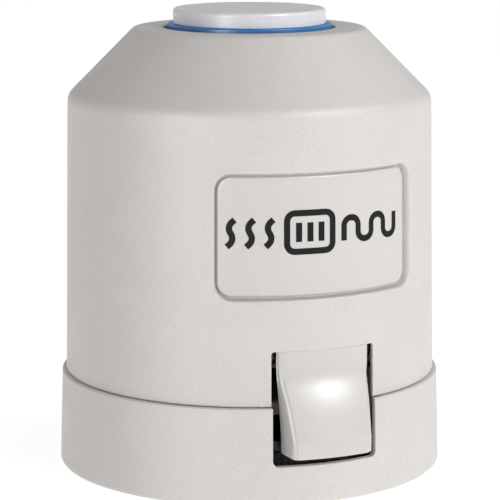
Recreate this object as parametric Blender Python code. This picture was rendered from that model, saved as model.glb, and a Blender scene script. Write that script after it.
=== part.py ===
"""Thermoelectric actuator head for an M30 radiator or manifold valve, as an assembly of separate solids.

Frame: metres, +Z up along the stroke axis, origin at the middle of the bottom rim. The release latch
faces -Y and the cable inlet faces +Y. Every length below is in millimetres and is scaled by MM.

How it works: the heater warms the wax element, whose piston pushes down on the fixed bridge, so the
element lifts the cage, the thrust foot and the indicator against the closing spring. Pressing the
latch swings it inwards and pushes the locking slide back, which frees the valve adapter's collar.
"""

import math

import bmesh
import bpy
from mathutils import Matrix, Vector

MM = 0.001
RING_STEPS = 40
SMALL_STEPS = 24
GAP = 0.3

# Driving sizes of the casing
TOP_Z = 53.05
SEAM_Z = 11.7
BODY_R_LOW = 22.5
BODY_R_HIGH = 21.95
SHOULDER_Z = 44.95
NECK_R = 13.9
WALL = 2.0
TOP_HOLE_R = 10.3
BASE_R_LOW = 23.36
BASE_R_HIGH = 23.0
RIM_FILLET = 0.6
SEAL_R = (21.2, 21.8)
DRAFT = (BODY_R_LOW - BODY_R_HIGH) / (SHOULDER_Z - SEAM_Z)

# Stroke, cap and blue sleeve
SLEEVE_R = 9.9
SLEEVE_TOP_Z = 53.45
CAP_R = 9.2
CAP_TOP_Z = 55.3

# Latch, its pin and the locking slide
LATCH_TOP_Z = 17.6
LATCH_BOTTOM_Z = 5.75
LATCH_LIP_Z = 7.7
LATCH_RAMP_Z = 15.2
LATCH_R_TOP = 22.3
LATCH_R_LIP = 25.2
LATCH_HALF = (5.75, 5.05)
SLOT_TOP_Z = 17.9
SLOT_BOTTOM_Z = 4.55
SLOT_HALF_TOP = 6.4
SLOT_HALF_BOTTOM = 6.55
PIVOT_Y = -18.4
PIVOT_Z = 16.8
PIN_R = 0.75
SLIDE_Z = 5.6
SLIDE_THICK = 1.4
SLIDE_OFFSET = 1.7
SLIDE_HOLE_R = 17.3
SLIDE_R = 18.9
LOCK_SPRING_X = 8.0
LOCK_SPRING_Z = 6.6
LOCK_SPRING_Y = (15.3, 18.5)

# Label pocket
LABEL_HALF_DEG = 33.7
LABEL_Z = (23.8, 38.3)
LABEL_CORNER = 2.0
LABEL_DEPTH = 0.95
LABEL_SUNK = 0.4

# Inner frame, wax element and cage
PARTITION_Z = (9.0, 10.8)
SEAT_R = 14.7
FRAME_Z = (11.1, 12.9)
BRIDGE_Z = (13.6, 17.0)
BRIDGE_HALF = 4.2
SCREW_RING_R = 18.0
SCREW_ANGLES = (45, 135, 225, 315)
CAGE_Z = (20.6, 39.6)
CAGE_R = 10.4
CAGE_FLANGE_R = 14.3
FOOT_Z = (7.2, 9.0)
STRIP_THICK = 0.4
SPRING_Z = (22.7, 49.3)
SPRING_R = 12.9
SPRING_WIRE_R = 1.0

# Cable inlet
INLET_Z = 18.5
INLET_R = 5.0
INLET_END_Y = 24.4
CLAMP_Y = (15.2, 17.4)
CLAMP_SCREW_X = 6.5


def clear_scene():
    for old in list(bpy.data.objects):
        bpy.data.objects.remove(old)


def material(name, colour, roughness=0.5, metallic=0.0):
    made = bpy.data.materials.new(name)
    made.use_nodes = True
    shader = made.node_tree.nodes["Principled BSDF"]
    shader.inputs["Base Color"].default_value = (*colour, 1.0)
    shader.inputs["Roughness"].default_value = roughness
    shader.inputs["Metallic"].default_value = metallic
    return made


def new_object(name, bm, finish):
    """Turns a bmesh in millimetres into an object in metres with its normals pointing out."""
    bmesh.ops.remove_doubles(bm, verts=bm.verts, dist=1e-4)
    bmesh.ops.recalc_face_normals(bm, faces=bm.faces)
    bmesh.ops.scale(bm, vec=(MM, MM, MM), verts=bm.verts)
    mesh = bpy.data.meshes.new(name)
    bm.to_mesh(mesh)
    bm.free()
    if finish:
        mesh.materials.append(finish)
    mesh.shade_smooth()
    mesh.set_sharp_from_angle(angle=math.radians(35))
    made = bpy.data.objects.new(name, mesh)
    bpy.context.scene.collection.objects.link(made)
    return made


def helper(made):
    """Marks an object as a tool for a Boolean, so that it isn't a piece."""
    made.hide_render = True
    made.display_type = "WIRE"
    return made


def boolean(target, tool, operation):
    modifier = target.modifiers.new(f"{operation.title()} {tool.name}", "BOOLEAN")
    modifier.operation = operation
    modifier.object = helper(tool)


def cut(target, tool):
    boolean(target, tool, "DIFFERENCE")


def join(target, tool):
    boolean(target, tool, "UNION")


def put_origin(piece, point):
    """Moves an object's origin to a point and leaves its shape where it is."""
    offset = Vector(point) * MM
    piece.data.transform(Matrix.Translation(-offset))
    piece.location = offset


def lathe(name, profile, finish=None, steps=RING_STEPS, centre=(0.0, 0.0)):
    """Spins (radius, height) points about the upright axis. A profile that ends on the axis stays open."""
    bm = bmesh.new()
    verts = [bm.verts.new((r, 0.0, z)) for r, z in profile]
    for first, second in zip(verts, verts[1:]):
        bm.edges.new((first, second))
    if profile[0][0] > 0.0 or profile[-1][0] > 0.0:
        bm.edges.new((verts[-1], verts[0]))
    bmesh.ops.spin(
        bm,
        geom=bm.verts[:] + bm.edges[:],
        cent=(0, 0, 0),
        axis=(0, 0, 1),
        angle=2 * math.pi,
        steps=steps,
        use_merge=True,
    )
    bmesh.ops.translate(bm, vec=(*centre, 0.0), verts=bm.verts)
    return new_object(name, bm, finish)


def disc(name, radius, low, high, finish=None, steps=SMALL_STEPS, centre=(0.0, 0.0)):
    profile = [(0.0, low), (radius, low), (radius, high), (0.0, high)]
    return lathe(name, profile, finish, steps, centre)


def rod(name, radius, start, end, finish=None, steps=SMALL_STEPS):
    """A round rod between two points."""
    bm = bmesh.new()
    line = Vector(end) - Vector(start)
    turn = line.to_track_quat("Z", "Y").to_matrix().to_4x4()
    middle = Matrix.Translation((Vector(start) + Vector(end)) / 2)
    bmesh.ops.create_cone(
        bm,
        cap_ends=True,
        segments=steps,
        radius1=radius,
        radius2=radius,
        depth=line.length,
        matrix=middle @ turn,
    )
    return new_object(name, bm, finish)


def box(name, low, high, finish=None):
    bm = bmesh.new()
    size = Vector(high) - Vector(low)
    place = Matrix.Translation((Vector(low) + Vector(high)) / 2)
    bmesh.ops.create_cube(bm, size=1.0, matrix=place @ Matrix.Diagonal((*size, 1.0)))
    return new_object(name, bm, finish)


def sections(name, loops, finish=None):
    """Bridges a row of closed outlines that have the same number of points, and caps both ends."""
    bm = bmesh.new()
    rows = [[bm.verts.new(point) for point in loop] for loop in loops]
    count = len(rows[0])
    for row, following in zip(rows, rows[1:]):
        for i in range(count):
            j = (i + 1) % count
            bm.faces.new((row[i], row[j], following[j], following[i]))
    bm.faces.new(rows[0])
    bm.faces.new(rows[-1])
    return new_object(name, bm, finish)


def arc(centre, radius, start_deg, end_deg, count):
    """Points (radius, height) along an arc, for the fillets of a turned profile."""
    found = []
    for i in range(count + 1):
        angle = math.radians(start_deg + (end_deg - start_deg) * i / count)
        found.append(
            (centre[0] + radius * math.cos(angle), centre[1] + radius * math.sin(angle))
        )
    return found


def body_radius(z):
    """Outer radius of the hood's tapered wall at a height."""
    return BODY_R_LOW - (z - SEAM_Z) * DRAFT


def at_angle(radius, degrees):
    return (
        radius * math.cos(math.radians(degrees)),
        radius * math.sin(math.radians(degrees)),
    )


def wrapped_panel(name, inset, inner, outer, finish=None):
    """A rounded rectangle bent round the front of the hood, from inner to outer off its surface."""
    columns = 20
    half = LABEL_HALF_DEG - math.degrees(inset / body_radius(LABEL_Z[0]))
    corner_deg = math.degrees(LABEL_CORNER / body_radius(LABEL_Z[0]))
    loops = []
    for i in range(columns + 1):
        # columns crowd towards the ends, where the corners turn
        share = math.sin(math.pi * (i / columns - 0.5))
        degrees = half * share
        into = max(0.0, abs(degrees) - (half - corner_deg)) / corner_deg
        drop = LABEL_CORNER * (1 - math.sqrt(max(0.0, 1 - into * into)))
        low = LABEL_Z[0] + inset + drop
        high = LABEL_Z[1] - inset - drop
        loop = []
        for z, off in ((low, inner), (low, outer), (high, outer), (high, inner)):
            x, y = at_angle(body_radius(z) + off, degrees - 90)
            loop.append((x, y, z))
        loops.append(loop)
    return sections(name, loops, finish)


def coil(name, radius, wire, low, high, turns, steps, finish):
    """A compression spring along +Z whose end turns lie close, from the low plane to the high one."""
    data = bpy.data.curves.new(name, "CURVE")
    data.dimensions = "3D"
    data.bevel_depth = wire * MM
    data.bevel_resolution = 1
    data.use_fill_caps = True
    closed_pitch = 2.3 * wire
    open_pitch = (high - low - 2 * wire - 2 * closed_pitch) / (turns - 2)
    count = int(turns * steps)
    spline = data.splines.new("POLY")
    spline.points.add(count)
    for i in range(count + 1):
        turn = i / steps
        opened = min(max(turn - 1, 0.0), turns - 2)
        height = low + wire + closed_pitch * (turn - opened) + open_pitch * opened
        x, y = radius * math.cos(math.tau * turn), radius * math.sin(math.tau * turn)
        spline.points[i].co = (x * MM, y * MM, height * MM, 1.0)
    data.materials.append(finish)
    made = bpy.data.objects.new(name, data)
    bpy.context.scene.collection.objects.link(made)
    return made


# ---------------------------------------------------------------- casing


def make_hood(casing):
    """The drafted hood with its 45 degree shoulder, guide tube, screw bosses, ears and cable boss."""
    shoulder_r = body_radius(SHOULDER_Z)
    fillet = 2.4
    set_back = fillet * math.tan(math.radians(22.5))
    shoulder = arc((shoulder_r - fillet, SHOULDER_Z - set_back), fillet, 0, 45, 3)
    neck_fillet = 1.1
    neck_back = neck_fillet * math.tan(math.radians(22.5))
    neck = arc((NECK_R - neck_back, TOP_Z - neck_fillet), neck_fillet, 45, 90, 2)
    inner_cone = shoulder_r + SHOULDER_Z - WALL * math.sqrt(2)
    ledge_z = 49.6
    inner_low = BODY_R_LOW - WALL
    inner_high = BODY_R_HIGH - WALL
    profile = [
        (BODY_R_LOW, SEAM_Z),
        *shoulder,
        *neck,
        (TOP_HOLE_R + 0.3, TOP_Z),
        (TOP_HOLE_R, TOP_Z - 0.3),
        (TOP_HOLE_R, 48.2),
        (TOP_HOLE_R + 0.7, 48.2),
        (TOP_HOLE_R + 0.7, 46.6),
        (TOP_HOLE_R, 46.6),
        (TOP_HOLE_R, 45.6),
        (TOP_HOLE_R + 1.2, 45.6),
        (TOP_HOLE_R + 1.2, ledge_z),
        (inner_cone - ledge_z, ledge_z),
        (inner_high, inner_cone - inner_high),
        (inner_low, SEAM_Z),
    ]
    hood = lathe("housing_hood", profile, casing)
    for angle in SCREW_ANGLES:
        place = at_angle(SCREW_RING_R, angle)
        join(hood, disc(f"boss_{angle}", 2.3, FRAME_Z[0], 22.0, centre=place))
        rib = box(f"boss_rib_{angle}", (0.0, -0.9, SEAM_Z + 0.8), (3.4, 0.9, 21.6))
        rib.data.transform(Matrix.Rotation(math.radians(angle), 4, "Z"))
        rib.data.transform(Matrix.Translation((place[0] * MM, place[1] * MM, 0)))
        join(hood, rib)
    for side in (-1, 1):
        low, high = sorted((side * 6.65, side * 8.6))
        join(hood, box(f"ear_{side}", (low, -20.6, 15.0), (high, -16.6, 18.6)))
        low, high = sorted((side * 5.3, side * 7.7))
        join(hood, box(f"clamp_post_{side}", (low, CLAMP_Y[1] + GAP, 16.6), (high, 21.0, 20.4)))
    join(hood, rod("inlet_boss", INLET_R, (0, 20.9, INLET_Z), (0, INLET_END_Y, INLET_Z), steps=32))
    for angle in SCREW_ANGLES:
        place = at_angle(SCREW_RING_R, angle)
        cut(hood, disc(f"pilot_{angle}", 1.5, 10.0, 20.6, steps=16, centre=place))
    cut(hood, rod("inlet_bore", 3.4, (0, 16.0, INLET_Z), (0, 26.0, INLET_Z)))
    cut(hood, slot_tool("hood_slot", SEAM_Z - 1.0, SLOT_TOP_Z, -17.0))
    cut(hood, rod("ear_bore", PIN_R + GAP, (-8.5, PIVOT_Y, PIVOT_Z), (8.5, PIVOT_Y, PIVOT_Z), steps=16))
    for side in (-1, 1):
        x = side * CLAMP_SCREW_X
        cut(hood, rod(f"clamp_pilot_{side}", 1.05, (x, 17.0, INLET_Z), (x, 20.2, INLET_Z), steps=10))
    cut(hood, wrapped_panel("label_pocket", 0.0, -LABEL_DEPTH, 1.5))
    return hood


def slot_half(z):
    """Half the width of the latch slot at a height: it narrows upwards by its mould draft."""
    share = (z - SLOT_BOTTOM_Z) / (SLOT_TOP_Z - SLOT_BOTTOM_Z)
    return SLOT_HALF_BOTTOM + (SLOT_HALF_TOP - SLOT_HALF_BOTTOM) * share


def slot_tool(name, low, high, inner_y):
    outer_y = -26.0
    loops = [
        [(-slot_half(z), y, z) for y, z in ((outer_y, low), (outer_y, high), (inner_y, high), (inner_y, low))],
        [(slot_half(z), y, z) for y, z in ((outer_y, low), (outer_y, high), (inner_y, high), (inner_y, low))],
    ]
    return sections(name, loops)


def make_base(casing):
    """The base ring: skirt, adapter socket, partition, locating spigot and latch slot."""
    rim = arc((BASE_R_LOW - RIM_FILLET, RIM_FILLET), RIM_FILLET, -90, 0, 2)
    top = SEAM_Z - GAP
    profile = [
        (21.4, 0.0),
        *rim,
        (BASE_R_HIGH, top - 0.25),
        (BASE_R_HIGH - 0.25, top),
        (SEAL_R[1] + GAP, top),
        (SEAL_R[1] + GAP, top - 1.1),
        (SEAL_R[0] - GAP, top - 1.1),
        (SEAL_R[0] - GAP, top),
        (20.1, top),
        (20.1, 14.3),
        (18.8, 14.3),
        (18.8, PARTITION_Z[1]),
        (12.0, PARTITION_Z[1]),
        (12.0, PARTITION_Z[0]),
        (SEAT_R, PARTITION_Z[0]),
        (SEAT_R, PARTITION_Z[0] + 0.3),
        (20.9, PARTITION_Z[0] + 0.3),
        (21.1, 0.5),
    ]
    base = lathe("base_ring", profile, casing)
    for angle in SCREW_ANGLES:
        place = at_angle(SCREW_RING_R, angle)
        cut(base, disc(f"boss_room_{angle}", 2.7, PARTITION_Z[1] - 0.1, 15.0, centre=place))
        sink = [(0.0, 8.0), (3.1, 8.0), (3.1, 9.5), (1.8, 10.3), (1.8, 12.0), (0.0, 12.0)]
        cut(base, lathe(f"countersink_{angle}", sink, steps=SMALL_STEPS, centre=place))
    for side in (-1, 1):
        x = side * LOCK_SPRING_X
        low = LOCK_SPRING_Y[1] + GAP
        join(base, box(f"spring_pad_{side}", (x - 1.3, low, 5.7), (x + 1.3, 20.8, 9.9)))
    cut(base, slot_tool("base_slot", SLOT_BOTTOM_Z, 15.5, -17.0))
    return base


def make_retainer(inner_plastic):
    """The snap-in ring below the slide: it guides the slide and leads the adapter's collar in."""
    profile = [(18.1, 3.6), (20.4, 3.6), (20.4, 5.3), (17.5, 5.3), (17.5, 4.2)]
    ring = lathe("slide_retainer", profile, inner_plastic, steps=36)
    for side in (-1, 1):
        low, high = sorted((side * 19.0, side * 20.2))
        join(ring, box(f"rail_{side}", (low, -3.0, 4.5), (high, 3.0, 8.6)))
    cut(ring, box("retainer_front", (-7.2, -24.0, 2.0), (7.2, -18.9, 9.0)))
    return ring


def make_label(plate):
    return wrapped_panel("label_plate", GAP, -LABEL_DEPTH + GAP, -LABEL_SUNK, plate)


def make_housing_seal(rubber):
    """The flat seal in the base's groove. It stops short of the latch slot on both sides."""
    low, high = SEAM_Z - GAP - 0.8, SEAM_Z - GAP
    profile = [(SEAL_R[1], low), (SEAL_R[1], high), (SEAL_R[0], high), (SEAL_R[0], low)]
    seal = lathe("housing_seal", profile, rubber, steps=36)
    cut(seal, box("seal_front", (-7.4, -24.0, 9.0), (7.4, -10.0, 13.0)))


def make_cap_seal(rubber):
    """The wiper ring in the guide tube's groove, round the blue sleeve."""
    profile = [(10.15, 46.95), (10.7, 46.95), (10.7, 47.85), (10.15, 47.85)]
    lathe("cap_seal", profile, rubber, steps=36)


def make_screws(steel):
    for number, angle in enumerate(SCREW_ANGLES, start=1):
        place = at_angle(SCREW_RING_R, angle)
        profile = [(0.0, 9.5), (2.7, 9.5), (2.7, 9.6), (1.15, 10.6), (1.15, 19.2), (0.0, 20.2)]
        lathe(f"housing_screw_{number}", profile, steel, steps=16, centre=place)


# ---------------------------------------------------------------- fixed inner parts


def make_frame(inner_plastic):
    """The bearing frame: a ring on the partition with a bridge that takes the wax piston's thrust."""
    ring = [(10.5, FRAME_Z[0]), (18.5, FRAME_Z[0]), (18.5, FRAME_Z[1]), (10.5, FRAME_Z[1])]
    frame = lathe("bearing_frame", ring, inner_plastic, steps=36)
    for side in (-1, 1):
        low, high = sorted((side * 8.7, side * 11.8))
        post = box(f"post_{side}", (low, -BRIDGE_HALF, FRAME_Z[0]), (high, BRIDGE_HALF, BRIDGE_Z[1]))
        join(frame, post)
    bridge = box("bridge", (-10.0, -BRIDGE_HALF, BRIDGE_Z[0]), (10.0, BRIDGE_HALF, BRIDGE_Z[1]))
    join(frame, bridge)
    for angle in SCREW_ANGLES:
        cut(frame, disc(f"frame_room_{angle}", 2.7, 10.0, 14.0, centre=at_angle(SCREW_RING_R, angle)))
    cut(frame, box("frame_front", (-9.0, -20.0, 10.0), (9.0, -15.4, 14.0)))
    return frame


def make_piston(steel):
    """The piston seat on the bridge and the polished piston that stands on it."""
    seat = [(0.0, 17.3), (3.2, 17.3), (3.2, 18.3), (0.0, 18.3)]
    lathe("piston_seat", seat, steel, steps=SMALL_STEPS)
    pin = [(0.0, 18.6), (1.7, 18.6), (2.0, 18.9), (2.0, 26.0), (0.0, 26.0)]
    lathe("wax_piston", pin, steel, steps=SMALL_STEPS)


def make_closing_spring(spring_steel):
    coil("closing_spring", SPRING_R, SPRING_WIRE_R, *SPRING_Z, 6.0, 14, spring_steel)


def make_cable_inlet(rubber, nylon, steel):
    """The cable grommet in its boss, and the clamp bar with its two screws behind it."""
    bore = 2.4
    outer = 3.1
    end = INLET_END_Y + GAP
    profile = [
        (bore, 17.9),
        (3.9, 17.9),
        (3.9, 19.4),
        (outer, 19.4),
        (outer, end),
        (4.2, end),
        (3.6, end + 0.5),
        (bore, end + 0.5),
    ]
    grommet = lathe("cable_grommet", profile, rubber, steps=SMALL_STEPS)
    grommet.data.transform(Matrix.Rotation(math.radians(-90), 4, "X"))
    grommet.data.transform(Matrix.Translation((0, 0, INLET_Z * MM)))
    clamp = box("cable_clamp", (-7.7, CLAMP_Y[0], 16.3), (7.7, CLAMP_Y[1], 20.2), nylon)
    cut(clamp, rod("clamp_groove", 2.4, (0, 14.0, 17.4), (0, 18.5, 17.4), steps=20))
    for side, name in ((-1, "clamp_screw_left"), (1, "clamp_screw_right")):
        x = side * CLAMP_SCREW_X
        cut(clamp, rod(f"clamp_hole_{side}", 1.1, (x, 14.0, INLET_Z), (x, 18.5, INLET_Z), steps=10))
        head = rod(name, 1.6, (x, 13.9, INLET_Z), (x, 14.9, INLET_Z), steel, steps=16)
        join(head, rod(f"{name}_shank", 0.7, (x, 14.5, INLET_Z), (x, 19.8, INLET_Z), steps=10))


# ---------------------------------------------------------------- moving carriage


def make_cage(inner_plastic):
    """The lifting cage: spring flange, tube and two legs that pass the bridge."""
    profile = [
        (5.2, CAGE_Z[0]),
        (CAGE_FLANGE_R, CAGE_Z[0]),
        (CAGE_FLANGE_R, CAGE_Z[0] + 1.8),
        (CAGE_R, CAGE_Z[0] + 1.8),
        (CAGE_R, CAGE_Z[1]),
        (8.6, CAGE_Z[1]),
        (8.6, CAGE_Z[0] + 2.2),
        (5.2, CAGE_Z[0] + 2.2),
    ]
    cage = lathe("lifting_cage", profile, inner_plastic, steps=36)
    for side in (-1, 1):
        low, high = sorted((side * 4.8, side * 6.8))
        join(cage, box(f"leg_{side}", (-3.2, low, 7.9), (3.2, high, CAGE_Z[0] + 1.0)))
        low, high = sorted((side * 7.2, side * 8.8))
        cut(cage, box(f"strip_window_{side}", (low, -1.9, 19.0), (high, 1.9, 24.0)))
        cut(cage, box(f"side_window_{side}", (-3.0, side * 10.0 - 2, 26.0), (3.0, side * 10.0 + 2, 36.0)))
    return cage


def make_foot(inner_plastic):
    """The thrust foot that presses on the valve pin, clipped on the cage's legs."""
    low, high = FOOT_Z
    profile = [(0.0, low), (7.6, low), (8.0, low + 0.4), (8.0, high), (0.0, high)]
    foot = lathe("thrust_foot", profile, inner_plastic, steps=36)
    for side in (-1, 1):
        low, high = sorted((side * 4.5, side * 7.1))
        cut(foot, box(f"foot_slot_{side}", (-3.5, low, 7.6), (3.5, high, 10.0)))
    return foot


def make_carriage_axis(pieces):
    """Hangs everything that lifts on one empty, which stands on the stroke axis."""
    axis = bpy.data.objects.new("lift_axis", None)
    axis.location = (0, 0, CAGE_Z[0] * MM)
    bpy.context.scene.collection.objects.link(axis)
    for piece in pieces:
        piece.parent = axis
        piece.matrix_parent_inverse = Matrix.Translation(-axis.location)


def make_wax_element(brass):
    """The brass cup of wax, closed by a flange and a neck that the piston slides in."""
    profile = [
        (0.0, 19.8),
        (4.0, 19.8),
        (4.0, 23.1),
        (7.1, 23.1),
        (7.1, 26.2),
        (6.0, 26.8),
        (6.0, 34.7),
        (5.2, 35.5),
        (0.0, 35.5),
    ]
    element = lathe("wax_element", profile, brass, steps=32)
    cut(element, disc("wax_bore", 2.3, 19.0, 26.6))
    return element


def make_strip(name, side, low, finish):
    """A contact disc with an arm over the heater's side and a leg down to the supply."""
    high = low + STRIP_THICK
    strip = disc(name, 5.4, low, high, finish, steps=32)
    near, far = sorted((side * 3.0, side * 8.2))
    join(strip, box(f"{name}_arm", (near, -1.5, low), (far, 1.5, high)))
    near, far = sorted((side * 7.8, side * 8.2))
    join(strip, box(f"{name}_leg", (near, -1.5, 18.9), (far, 1.5, high)))
    return strip


def make_heater(ceramic, bronze, inner_plastic):
    """The PTC pill between its two contact strips, and the insulating washer above."""
    return [
        disc("ptc_heater", 5.0, 36.5, 38.1, ceramic, steps=32),
        make_strip("contact_strip_live", 1, 35.8, bronze),
        make_strip("contact_strip_neutral", -1, 38.4, bronze),
        disc("insulating_washer", 8.2, 39.1, 39.5, inner_plastic, steps=32),
    ]


def make_indicator(blue, cap_white, inner_plastic):
    """The cage cap, the blue sleeve that stands on it and the pale cap pressed into the sleeve."""
    lid = [(0.0, 39.9), (CAGE_R, 39.9), (CAGE_R, 41.2), (8.3, 41.2), (8.3, 44.0), (0.0, 44.0)]
    sleeve = [
        (8.6, 41.5),
        (SLEEVE_R, 41.5),
        (SLEEVE_R, SLEEVE_TOP_Z),
        (8.6, SLEEVE_TOP_Z),
    ]
    edge = arc((CAP_R - 0.45, CAP_TOP_Z - 0.45), 0.45, 0, 90, 2)
    cap = [(0.0, 48.0), (8.3, 48.0), (8.3, 53.75), (CAP_R, 53.75), *edge, (0.0, CAP_TOP_Z)]
    return [
        lathe("cage_cap", lid, inner_plastic, steps=36),
        lathe("indicator_sleeve", sleeve, blue),
        lathe("indicator_cap", cap, cap_white),
    ]


# ---------------------------------------------------------------- latch


def latch_radius(z):
    """The face's distance from the stroke axis at a height: flush on top, then a ramp out to the lip."""
    share = min(1.0, max(0.0, (LATCH_RAMP_Z - z) / (LATCH_RAMP_Z - LATCH_LIP_Z)))
    return LATCH_R_TOP + (LATCH_R_LIP - LATCH_R_TOP) * share


def latch_half(radius):
    """Half the width of the latch where its face stands at this radius: the sides are drafted."""
    share = (radius - LATCH_R_TOP) / (LATCH_R_LIP - LATCH_R_TOP)
    return LATCH_HALF[0] + (LATCH_HALF[1] - LATCH_HALF[0]) * share


def make_latch(casing):
    """The release latch: a hollow wedge with a barrel on its pin and a floor that meets the slide."""
    heights = [LATCH_TOP_Z, LATCH_RAMP_Z, 13.3, 11.4, 9.5, LATCH_LIP_Z, LATCH_BOTTOM_Z]
    back = 20.9
    shell = []
    for z in heights:
        radius = latch_radius(z)
        half = latch_half(radius)
        loop = [(-LATCH_HALF[0], -back, z), (LATCH_HALF[0], -back, z)]
        for share in (1.0, 0.67, 0.33, 0.0, -0.33, -0.67, -1.0):
            x = half * share
            loop.append((x, -math.sqrt(radius * radius - x * x), z))
        shell.append(loop)
    latch = sections("release_latch", shell, casing)
    hollow = []
    for z in (15.0, 13.3, 11.4, 9.5, 8.6, 7.1):
        radius = latch_radius(z) - 1.5
        half = latch_half(radius) - 1.2
        front = math.sqrt(radius * radius - half * half)
        hollow.append([(-half, -19.0, z), (half, -19.0, z), (half, -front, z), (-half, -front, z)])
    cut(latch, sections("latch_hollow", hollow))
    join(latch, rod("latch_barrel", 1.55, (-5.0, PIVOT_Y, PIVOT_Z), (5.0, PIVOT_Y, PIVOT_Z), steps=20))
    join(latch, box("latch_web", (-5.2, -21.4, 15.6), (5.2, PIVOT_Y, 17.3)))
    cut(latch, rod("barrel_bore", PIN_R + GAP, (-7, PIVOT_Y, PIVOT_Z), (7, PIVOT_Y, PIVOT_Z), steps=16))
    put_origin(latch, (0, PIVOT_Y, PIVOT_Z))
    return latch


def make_latch_pin(steel):
    rod("latch_pin", PIN_R, (-8.2, PIVOT_Y, PIVOT_Z), (8.2, PIVOT_Y, PIVOT_Z), steel, steps=16)


def make_slide(steel):
    """The locking slide: a stamped ring plate, off centre towards the latch when it locks."""
    high = SLIDE_Z + SLIDE_THICK
    centre = (0.0, -SLIDE_OFFSET)
    profile = [(SLIDE_HOLE_R, SLIDE_Z), (SLIDE_R, SLIDE_Z), (SLIDE_R, high), (SLIDE_HOLE_R, high)]
    slide = lathe("locking_slide", profile, steel, steps=RING_STEPS, centre=centre)
    cut(slide, box("slide_front_flat", (-9.0, -26.0, 5.0), (9.0, -20.5, 8.0)))
    for side in (-1, 1):
        x = side * LOCK_SPRING_X
        low = LOCK_SPRING_Y[0] - GAP
        cut(slide, box(f"spring_notch_{side}", (x - 1.5, low, 5.0), (x + 1.5, 20.0, 8.0)))
        low, high_x = sorted((side * 18.6, side * 24.0))
        cut(slide, box(f"slide_side_{side}", (low, -24.0, 5.0), (high_x, 24.0, 8.0)))
    put_origin(slide, (0, -SLIDE_OFFSET, SLIDE_Z))
    return slide


def make_lock_springs(spring_steel):
    """Two small springs that push the slide and the latch forwards."""
    low, high = LOCK_SPRING_Y
    for name, side in (("lock_spring_left", -1), ("lock_spring_right", 1)):
        spring = coil(name, 0.75, 0.16, 0.0, high - low, 4.0, 8, spring_steel)
        spring.location = (side * LOCK_SPRING_X * MM, low * MM, LOCK_SPRING_Z * MM)
        spring.rotation_euler = (math.radians(-90), 0, 0)


def main():
    clear_scene()
    casing = material("pale grey ABS", (0.67, 0.65, 0.62), 0.55)
    plate = material("label polycarbonate", (0.70, 0.68, 0.65), 0.45)
    cap_white = material("white ABS", (0.78, 0.78, 0.78), 0.35)
    blue = material("blue polypropylene", (0.03, 0.17, 0.55), 0.35)
    inner_plastic = material("glass-filled polyamide", (0.10, 0.10, 0.11), 0.6)
    nylon = material("natural polyamide", (0.72, 0.69, 0.60), 0.5)
    steel = material("stainless steel", (0.60, 0.60, 0.61), 0.3, 1.0)
    spring_steel = material("spring steel", (0.40, 0.40, 0.42), 0.35, 1.0)
    brass = material("brass", (0.72, 0.52, 0.24), 0.35, 1.0)
    bronze = material("tinned bronze", (0.65, 0.50, 0.38), 0.4, 1.0)
    ceramic = material("heater ceramic", (0.25, 0.24, 0.23), 0.7)
    rubber = material("sealing rubber", (0.05, 0.05, 0.05), 0.8)

    make_hood(casing)
    make_base(casing)
    make_label(plate)
    make_retainer(inner_plastic)
    make_housing_seal(rubber)
    make_cap_seal(rubber)
    make_screws(steel)
    make_frame(inner_plastic)
    make_piston(steel)
    make_closing_spring(spring_steel)
    make_cable_inlet(rubber, nylon, steel)
    lifted = [make_cage(inner_plastic), make_foot(inner_plastic), make_wax_element(brass)]
    lifted += make_heater(ceramic, bronze, inner_plastic)
    lifted += make_indicator(blue, cap_white, inner_plastic)
    make_carriage_axis(lifted)
    make_latch(casing)
    make_latch_pin(steel)
    make_slide(steel)
    make_lock_springs(spring_steel)


main()
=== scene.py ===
# %% [markdown]
# # A thermoelectric actuator head
#
# This lesson dresses a finished CAD model of a small heating part: a pale round hood on a base ring, with a
# press latch in front, a cable inlet behind and an indicator cap on top that rises when the valve opens.
# The CAD says where everything is and how it moves. Here each visible part gets its moulded edges and finish.

# %% Load the CAD frame
import math

import bmesh
import bpy
import numpy as np
from mathutils import Matrix, Vector
from mathutils.geometry import delaunay_2d_cdt


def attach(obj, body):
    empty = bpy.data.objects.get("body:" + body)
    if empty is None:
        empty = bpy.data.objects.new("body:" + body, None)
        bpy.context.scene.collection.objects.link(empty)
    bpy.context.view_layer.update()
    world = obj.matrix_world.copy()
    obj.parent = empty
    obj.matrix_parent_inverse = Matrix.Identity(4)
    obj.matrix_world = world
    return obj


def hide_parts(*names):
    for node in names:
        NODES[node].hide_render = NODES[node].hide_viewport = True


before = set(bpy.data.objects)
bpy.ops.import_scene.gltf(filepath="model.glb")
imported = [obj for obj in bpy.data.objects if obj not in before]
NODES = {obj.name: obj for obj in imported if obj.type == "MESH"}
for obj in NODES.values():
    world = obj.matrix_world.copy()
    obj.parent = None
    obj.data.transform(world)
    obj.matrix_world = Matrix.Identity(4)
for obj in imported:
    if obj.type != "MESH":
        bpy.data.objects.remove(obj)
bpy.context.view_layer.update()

# %% [markdown]
# ## Units, colours and nodes
#
# The shapes are written in millimetres and scaled once, as on a workshop drawing. Colours are written as the
# sRGB hex values of a colour card. Blender's shaders work in linear light, so one function turns them over.
# Node trees are built with one small helper: a value that is itself a socket becomes a link.

# %% Units, colours and the node helper
MM = 0.001


def linear(hex_colour):
    """A colour card's sRGB hex value in linear light, with alpha."""
    found = []
    for start in (0, 2, 4):
        c = int(hex_colour[start:start + 2], 16) / 255
        found.append(c / 12.92 if c <= 0.04045 else ((c + 0.055) / 1.055) ** 2.4)
    return (*found, 1.0)


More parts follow.
